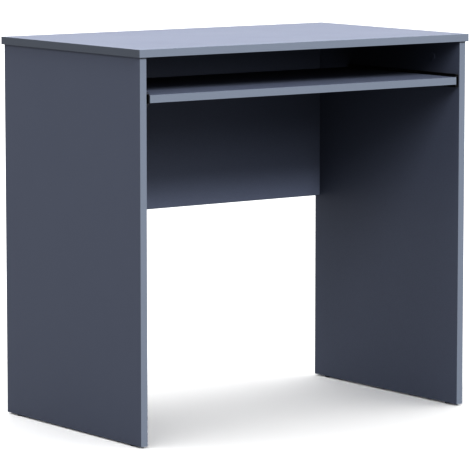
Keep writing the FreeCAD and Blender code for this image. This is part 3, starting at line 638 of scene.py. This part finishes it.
class DESK_OT_buffers(bpy.types.Operator):
    """Mould the rubber buffers at the backs of the slides"""

    bl_idname = "desk.buffers"
    bl_label = "Mould the buffers"

    def execute(self, context):
        settings = context.scene.desk_slides
        # Rubber pressed in an eroded steel mould: dull, and faintly pebbled.
        rubber = plastic(
            "moulded_black_rubber", settings.rubber, roughness=0.75, texture=0.6, bump_strength=0.4
        )
        for side in SIDES:
            node = f"{side}_slide_buffer"
            low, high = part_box(node)
            middle = (low.z + high.z) / 2
            half, nose = (high.z - low.z) / 2, settings.buffer_nose / 2
            shoulder = (low.y + high.y) / 2
            # A notch in each flank lets the rubber give when the tray closes.
            notch, notch_depth, heel = 1.2 * MM, 1.6 * MM, 2.6 * MM
            nose_round, shoulder_round, heel_round = 1.2 * MM, 1.0 * MM, 0.5 * MM
            lip_round, notch_round = 0.2 * MM, 0.4 * MM
            notch_back = high.y - heel
            upper = [
                (low.y, nose, nose_round),
                (shoulder, half, shoulder_round),
                (notch_back - notch, half, lip_round),
                (notch_back - notch / 2, half - notch_depth, notch_round),
                (notch_back, half, lip_round),
                (high.y, half, heel_round),
            ]
            lower = [(along, -up, cut) for along, up, cut in reversed(upper)]
            outline = [(along, middle + up) for along, up in round_corners(upper + lower)]
            shape = bmesh.new()
            press_out(shape, outline, low.x, high.x, (Y, Z, X))
            name = f"{side}_rubber_buffer"
            piece = finish_piece(name, shape, [Matrix()], rubber, node, "frame")
            edges = piece.modifiers.new("moulded_edges", "BEVEL")
            edges.width = 0.25 * MM
            edges.segments = 3
            edges.limit_method = "ANGLE"
            edges.angle_limit = math.radians(60)
        return {"FINISHED"}


# Fittings


def beech(name, along, settings):
    """Turned and fluted beech: pale pink-brown with fine dark flecks along the grain."""
    material, tree, shader, place = start_material(name)
    stretch = [1.0, 1.0, 1.0]
    stretch[along] = BEECH_SQUEEZE
    drawn = add(tree, "ShaderNodeMapping", {"Vector": place, "Scale": stretch}).outputs[0]
    flecks = add(tree, "ShaderNodeTexNoise", {
        "Vector": drawn,
        "Scale": per_mm(BEECH_FLECK),
        "Detail": 5.0,
    })
    tone = add(tree, "ShaderNodeMix", {
        0: flecks.outputs["Fac"],
        6: settings.beech_dark,
        7: settings.beech_light,
    }, data_type="RGBA").outputs[2]
    gloss = add(tree, "ShaderNodeMapRange", {
        "Value": flecks.outputs["Fac"],
        "To Min": 0.7,
        "To Max": 0.55,
    }).outputs[0]
    bump = add(tree, "ShaderNodeBump", {
        "Height": flecks.outputs["Fac"],
        "Strength": 0.3,
        "Distance": MOULD_RELIEF,
    })
    feed(tree, shader, tone, gloss, bump)
    return material


class FittingSettings(bpy.types.PropertyGroup):
    """The fittings' finishes, and the sizes of the moulded ones."""

    alloy: FloatVectorProperty(
        name="Cam locks", description="Colour of the cam locks", size=4, subtype="COLOR",
        default=colour("8E9094")
    )
    plating: FloatVectorProperty(
        name="Screws", description="Colour of the screws and cam bolts", size=4, subtype="COLOR",
        default=colour("B8BABD")
    )
    beech_light: FloatVectorProperty(
        name="Light beech", description="Colour of the dowels' wood", size=4, subtype="COLOR",
        default=colour("DDB88A")
    )
    beech_dark: FloatVectorProperty(
        name="Beech flecks", description="Colour of the wood's flecks", size=4, subtype="COLOR",
        default=colour("A87C50")
    )
    cap: FloatVectorProperty(
        name="Caps", description="Colour of the cover caps", size=4, subtype="COLOR",
        default=colour("3B3F4A")
    )
    cap_height: FloatProperty(
        name="Cap height", description="Cover cap proud of the board", default=1.0 * MM, subtype="DISTANCE",
        unit="LENGTH"
    )
    glide: FloatVectorProperty(
        name="Glides", description="Colour of the glides", size=4, subtype="COLOR", default=colour("161617")
    )
    nail: FloatVectorProperty(
        name="Nails", description="Colour of the glides' nails", size=4, subtype="COLOR",
        default=colour("A6A7A9")
    )


class DESK_OT_fittings(bpy.types.Operator):
    """Finish the cam locks, bolts, screws and dowels"""

    bl_idname = "desk.fittings"
    bl_label = "Finish the fittings"

    def execute(self, context):
        settings = context.scene.desk_fittings
        # Zinc alloy cast in a steel die: a soft grey, with the die's cool patches and small pits.
        cast = metal("die_cast_zinc_alloy", settings.alloy, roughness=0.42, spangle=1.5, bump_strength=0.3)
        # Headed and rolled steel, plated in a barrel: brighter and smoother than the castings.
        plated = metal(
            "zinc_plated_screw_steel", settings.plating, roughness=0.25, spangle=1, bump_strength=0.1
        )
        paint(nodes_named("side_cam_locks", "back_cam_locks"), cast)
        paint(nodes_named("side_cam_bolts", "back_cam_bolts"), plated)
        paint(nodes_named("slide_to_side_screws", "slide_to_tray_screws"), plated)
        paint(nodes_named("top_dowels"), beech("fluted_beech_upright", Z, settings))
        paint(nodes_named("back_panel_dowels"), beech("fluted_beech_level", X, settings))
        return {"FINISHED"}


class DESK_OT_cover_caps(bpy.types.Operator):
    """Mould the caps that cover the uprights' cam locks"""

    bl_idname = "desk.cover_caps"
    bl_label = "Mould the cover caps"

    def execute(self, context):
        settings = context.scene.desk_fittings
        low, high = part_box("side_cam_covers")
        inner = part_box("right_side_panel")[0].x
        radius, height = (high.z - low.z) / 2, settings.cap_height
        plug = high.x - inner
        shape = bmesh.new()
        # A low dome with a rounded rim, and the mark of the mould's gate in its middle.
        gate, gate_edge, gate_floor = 0.8 * MM, 1.3, 0.88
        flat, fall, fall_height, rim_height = 0.55, 0.93, 0.72, 0.3
        small_round, fall_round, dome_round = 0.2 * MM, 0.6 * MM, 2 * MM
        dome = [
            (0, height * gate_floor, 0),
            (gate, height * gate_floor, small_round / 2),
            (gate * gate_edge, height, small_round),
            (radius * flat, height, dome_round),
            (radius * fall, height * fall_height, fall_round),
            (radius, height * rim_height, small_round),
            (radius, 0, 0),
            (0, 0, 0),
        ]
        turn_on_lathe(shape, round_corners(dome))
        # The plug is a cross, and its end stays just under the dome.
        reach, half, tuck = 2.8 * MM, 0.5 * MM, 0.01 * MM
        cross = []
        for turn in range(4):
            for across, up in ((reach, -half), (reach, half), (half, half)):
                cross.append(Matrix.Rotation(turn * math.pi / 2, 2) @ Vector((across, up)))
        press_out(shape, cross, -plug, -tuck)
        places = []
        for sign in (-1, 1):
            for along in (low.y + radius, high.y - radius):
                spot = Matrix.Translation((sign * inner, along, (low.z + high.z) / 2))
                places.append(spot @ Matrix.Rotation(-sign * math.pi / 2, 4, "Y"))
        # Polyethylene moulded in the boards' colour, with a fine eroded texture: a low, soft sheen.
        material = plastic(
            "moulded_grey_polyethylene", settings.cap, roughness=0.5, texture=0.5, bump_strength=0.15,
            Specular_IOR_Level=0.15
        )
        finish_piece("cover_caps", shape, places, material, "side_cam_covers", "frame")
        return {"FINISHED"}


class DESK_OT_glides(bpy.types.Operator):
    """Mould the floor glides and head their nails"""

    bl_idname = "desk.glides"
    bl_label = "Mould the glides"

    def execute(self, context):
        settings = context.scene.desk_fittings
        # Polyethylene moulded in black: a soft sheen over a slight grain.
        black = plastic(
            "moulded_black_polyethylene", settings.glide, roughness=0.5, texture=0.5, bump_strength=0.25
        )
        # Wire drawn through a die and headed cold: bright, with fine scuffs.
        wire = metal("bright_drawn_nail_steel", settings.nail, roughness=0.3, spangle=1, bump_strength=0.15)
        nail_low, nail_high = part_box("glide_nails")
        seat, head, shank = 1.2 * MM, 2.6 * MM, 0.95 * MM
        feet = []
        for name in (f"{end}_{side}_glide" for end in ("front", "back") for side in SIDES):
            low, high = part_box(name)
            middle = (low + high) / 2
            radius, height = (high.x - low.x) / 2, high.z - low.z
            foot = Matrix.Translation((middle.x, middle.y, 0))
            feet.append(foot)
            shape = bmesh.new()
            hole, pocket = shank + 0.05 * MM, head + 0.6 * MM
            sole, sole_round = radius - 0.9 * MM, 1.1 * MM
            waist, waist_round, top_round = height * 0.45, 0.8 * MM, 0.2 * MM
            pocket_round, mouth_round = 0.15 * MM, 0.35 * MM
            profile = [
                (hole, seat, 0),
                (pocket, seat, pocket_round),
                (pocket, 0, mouth_round),
                (sole, 0, sole_round),
                (radius, waist, waist_round),
                (radius, height, top_round),
                (hole, height, 0),
            ]
            turn_on_lathe(shape, round_corners(profile), closed=True)
            finish_piece(f"moulded_{name}", shape, [foot], black, name, "frame")
        shape = bmesh.new()
        crown, crown_round = head * 0.8, 0.7 * MM
        rim, rim_round = 0.2 * MM, 0.1 * MM
        nail = [
            (0, nail_low.z, 0),
            (crown, nail_low.z, crown_round),
            (head, seat - rim, rim_round),
            (head, seat, 0),
            (shank, seat, 0),
            (shank, nail_high.z - 2 * shank, 0),
            (0, nail_high.z, 0),
        ]
        turn_on_lathe(shape, round_corners(nail), segments=NAIL_STEPS)
        finish_piece("glide_nails_domed", shape, feet, wire, "glide_nails", "frame")
        return {"FINISHED"}


# Studio


class StageSettings(bpy.types.PropertyGroup):
    """The studio's light, floor and camera."""

    camera_azimuth: FloatProperty(
        name="Azimuth", description="Camera's place round the desk, from its front",
        default=math.radians(-36.3), subtype="ANGLE", unit="ROTATION"
    )
    camera_elevation: FloatProperty(
        name="Elevation", description="Camera's height above the horizon", default=math.radians(7.147),
        subtype="ANGLE", unit="ROTATION"
    )
    camera_distance: FloatProperty(
        name="Distance", description="Camera to the point it looks at", default=6.532, subtype="DISTANCE",
        unit="LENGTH"
    )
    aim_height: FloatProperty(
        name="Aim height", description="Height of the point the camera looks at", default=0.3541,
        subtype="DISTANCE", unit="LENGTH"
    )
    aim_across: FloatProperty(
        name="Aim across", description="That point right of the desk's middle", default=-0.0038,
        subtype="DISTANCE", unit="LENGTH"
    )
    focal_length: FloatProperty(
        name="Focal length", description="Camera's lens", default=249.9, unit="CAMERA"
    )
    key_elevation: FloatProperty(
        name="Key elevation", description="Height of the softbox above the horizon",
        default=math.radians(32), subtype="ANGLE", unit="ROTATION"
    )
    key_azimuth: FloatProperty(
        name="Key azimuth", description="Softbox's place round the desk, from its front",
        default=math.radians(-2), subtype="ANGLE", unit="ROTATION"
    )
    key_distance: FloatProperty(
        name="Key distance", description="Standing softboxes to the desk", default=16.0, subtype="DISTANCE",
        unit="LENGTH"
    )
    key_size: FloatProperty(
        name="Key size", description="Diameter of the standing softboxes", default=4.8, subtype="DISTANCE",
        unit="LENGTH"
    )
    key_power: FloatProperty(
        name="Key power", description="Power of the softbox in front", default=7750.0, subtype="POWER",
        unit="POWER"
    )
    low_elevation: FloatProperty(
        name="Low elevation", description="Height of the low softbox above the horizon",
        default=math.radians(20), subtype="ANGLE", unit="ROTATION"
    )
    low_power: FloatProperty(
        name="Low power", description="Power of the low softbox in front", default=1200.0, subtype="POWER",
        unit="POWER"
    )
    left_azimuth: FloatProperty(
        name="Left azimuth", description="Left softbox's place round the desk, from its front",
        default=math.radians(-50), subtype="ANGLE", unit="ROTATION"
    )
    left_elevation: FloatProperty(
        name="Left elevation", description="Height of the left softbox above the horizon",
        default=math.radians(35), subtype="ANGLE", unit="ROTATION"
    )
    left_power: FloatProperty(
        name="Left power", description="Power of the softbox at the left", default=1168.0, subtype="POWER",
        unit="POWER"
    )
    overhead_power: FloatProperty(
        name="Overhead power", description="Power of the softbox overhead", default=435.0, subtype="POWER",
        unit="POWER"
    )
    overhead_height: FloatProperty(
        name="Overhead height", description="Overhead softbox above the floor", default=5.0,
        subtype="DISTANCE", unit="LENGTH"
    )
    overhead_size: FloatProperty(
        name="Overhead size", description="Diameter of the overhead softbox", default=2.4,
        subtype="DISTANCE", unit="LENGTH"
    )
    light: FloatVectorProperty(
        name="Light", description="Colour of the softboxes", size=4, subtype="COLOR", default=(1, 1, 1, 1)
    )
    surround: FloatProperty(
        name="Surround", description="Brightness of the white surround", default=1.138, min=0
    )
    surround_tint: FloatVectorProperty(
        name="Surround tint", description="Colour of the surround", size=4, subtype="COLOR",
        default=(1, 1, 1, 1)
    )
    floor: FloatVectorProperty(
        name="Floor", description="Colour of the floor", size=4, subtype="COLOR", default=colour("F8F8F8")
    )


def seamless_floor(settings):
    """Matt painted floor board: rolled emulsion, near white, with the roller's faint stipple."""
    material, tree, shader, place = start_material(
        "rolled_matt_emulsion", Specular_IOR_Level=0.1, Roughness=0.9
    )
    stipple = add(tree, "ShaderNodeTexNoise", {
        "Vector": place,
        "Scale": per_mm(ROLLER_STIPPLE),
        "Detail": 2.0,
    })
    cloud = add(tree, "ShaderNodeTexNoise", {
        "Vector": place,
        "Scale": per_mm(FLOOR_CLOUD),
        "Detail": 1.0,
    })
    tone = add(tree, "ShaderNodeMix", {
        0: cloud.outputs["Fac"],
        6: shade(settings.floor, 1 - FLOOR_CHANGE),
        7: settings.floor,
    }, data_type="RGBA").outputs[2]
    bump = add(tree, "ShaderNodeBump", {
        "Height": stipple.outputs["Fac"],
        "Strength": 0.05,
        "Distance": BOARD_RELIEF,
    })
    tree.links.new(tone, shader.inputs["Base Color"])
    tree.links.new(bump.outputs[0], shader.inputs["Normal"])
    return material


def around(azimuth, elevation):
    """Direction from the desk to a place round it: azimuth 0 is in front, and 90 degrees to the right."""
    level = math.cos(elevation)
    return Vector((math.sin(azimuth) * level, -math.cos(azimuth) * level, math.sin(elevation)))


def look_at(obj, target):
    """Turns a camera or light towards a point."""
    obj.rotation_euler = (target - obj.location).to_track_quat("-Z", "Y").to_euler()


class DESK_OT_stage(bpy.types.Operator):
    """Build the floor, the surround, the softboxes and the camera"""

    bl_idname = "desk.stage"
    bl_label = "Build the studio"

    def execute(self, context):
        settings = context.scene.desk_stage
        floor = self.lay_floor(context.scene, settings)
        self.light(context.scene, settings, floor)
        self.place_camera(context.scene, settings)
        return {"FINISHED"}

    def lay_floor(self, scene, settings):
        """A round floor, far wider than any view of the desk."""
        mesh = bpy.data.meshes.new("floor")
        disc = bmesh.new()
        bmesh.ops.create_circle(disc, cap_ends=True, segments=FLOOR_STEPS, radius=FLOOR_RADIUS)
        disc.to_mesh(mesh)
        disc.free()
        floor = bpy.data.objects.new("floor", mesh)
        scene.collection.objects.link(floor)
        mesh.materials.append(seamless_floor(settings))
        return floor

    def light(self, scene, settings, floor):
        """A white surround, and round softboxes in front, low in front, at the left and overhead."""
        world = bpy.data.worlds.new("white_surround")
        world.use_nodes = True
        background = world.node_tree.nodes["Background"]
        background.inputs["Color"].default_value = settings.surround_tint
        background.inputs["Strength"].default_value = settings.surround
        scene.world = world
        lit = bpy.data.collections.new("lit_by_softboxes")
        lit.objects.link(floor)
        lit.collection_objects[0].light_linking.link_state = "EXCLUDE"
        middle = Vector((0, 0, CAD_BOX[1].z / 2))
        standing = (
            ("softbox_in_front", settings.key_azimuth, settings.key_elevation, settings.key_power),
            ("softbox_low", settings.key_azimuth, settings.low_elevation, settings.low_power),
            ("softbox_left", settings.left_azimuth, settings.left_elevation, settings.left_power),
        )
        for name, azimuth, elevation, power in standing:
            place = middle + around(azimuth, elevation) * settings.key_distance
            self.hang_softbox(scene, name, place, middle, power, settings.key_size, lit)
        overhead = Vector((0, 0, settings.overhead_height))
        power, size = settings.overhead_power, settings.overhead_size
        self.hang_softbox(scene, "softbox_overhead", overhead, middle, power, size, lit)
        scene.view_settings.view_transform = "Standard"
        scene.view_settings.look = "High Contrast"

    def hang_softbox(self, scene, name, place, target, power, size, lit):
        """A round softbox that lights the desk and not the floor."""
        lamp = bpy.data.lights.new(name, "AREA")
        lamp.shape = "DISK"
        lamp.size = size
        lamp.energy = power
        lamp.color = scene.desk_stage.light[:3]
        softbox = bpy.data.objects.new(name, lamp)
        softbox.location = place
        look_at(softbox, target)
        scene.collection.objects.link(softbox)
        softbox.light_linking.receiver_collection = lit

    def place_camera(self, scene, settings):
        """A long lens, a little above the desk's top, in front and to the left."""
        camera = bpy.data.cameras.new("camera")
        camera.lens = settings.focal_length
        camera.clip_start = 0.1
        camera.clip_end = 200
        holder = bpy.data.objects.new("camera", camera)
        aim = Vector((settings.aim_across, 0, settings.aim_height))
        direction = around(settings.camera_azimuth, settings.camera_elevation)
        holder.location = aim + direction * settings.camera_distance
        look_at(holder, aim)
        scene.collection.objects.link(holder)
        scene.camera = holder


# Add-on


class VIEW3D_PT_desk(bpy.types.Panel):
    """The desk's sizes, colours and operators"""

    bl_label = "Computer desk"
    bl_space_type = "VIEW_3D"
    bl_region_type = "UI"
    bl_category = "Desk"

    def draw(self, context):
        for group in SETTINGS:
            box = self.layout.box()
            for name in group["type"].__annotations__:
                box.prop(getattr(context.scene, group["name"]), name)
        for operator in OPERATORS:
            self.layout.operator(operator.bl_idname)


SETTINGS = (
    {"name": "desk_boards", "type": BoardSettings},
    {"name": "desk_bands", "type": BandSettings},
    {"name": "desk_slides", "type": SlideSettings},
    {"name": "desk_fittings", "type": FittingSettings},
    {"name": "desk_stage", "type": StageSettings},
)
OPERATORS = (
    DESK_OT_stage,
    DESK_OT_boards,
    DESK_OT_edge_bands,
    DESK_OT_slides,
    DESK_OT_buffers,
    DESK_OT_fittings,
    DESK_OT_cover_caps,
    DESK_OT_glides,
)


def register():
    for group in SETTINGS:
        bpy.utils.register_class(group["type"])
        setattr(bpy.types.Scene, group["name"], PointerProperty(type=group["type"]))
    for operator in OPERATORS:
        bpy.utils.register_class(operator)
    bpy.utils.register_class(VIEW3D_PT_desk)


def unregister():
    bpy.utils.unregister_class(VIEW3D_PT_desk)
    for operator in reversed(OPERATORS):
        bpy.utils.unregister_class(operator)
    for group in reversed(SETTINGS):
        delattr(bpy.types.Scene, group["name"])
        bpy.utils.unregister_class(group["type"])


def main():
    register()
    bpy.ops.desk.stage()
    bpy.ops.desk.boards()
    bpy.ops.desk.edge_bands()
    bpy.ops.desk.slides()
    bpy.ops.desk.buffers()
    bpy.ops.desk.fittings()
    bpy.ops.desk.cover_caps()
    bpy.ops.desk.glides()


if __name__ == "__main__":
    main()
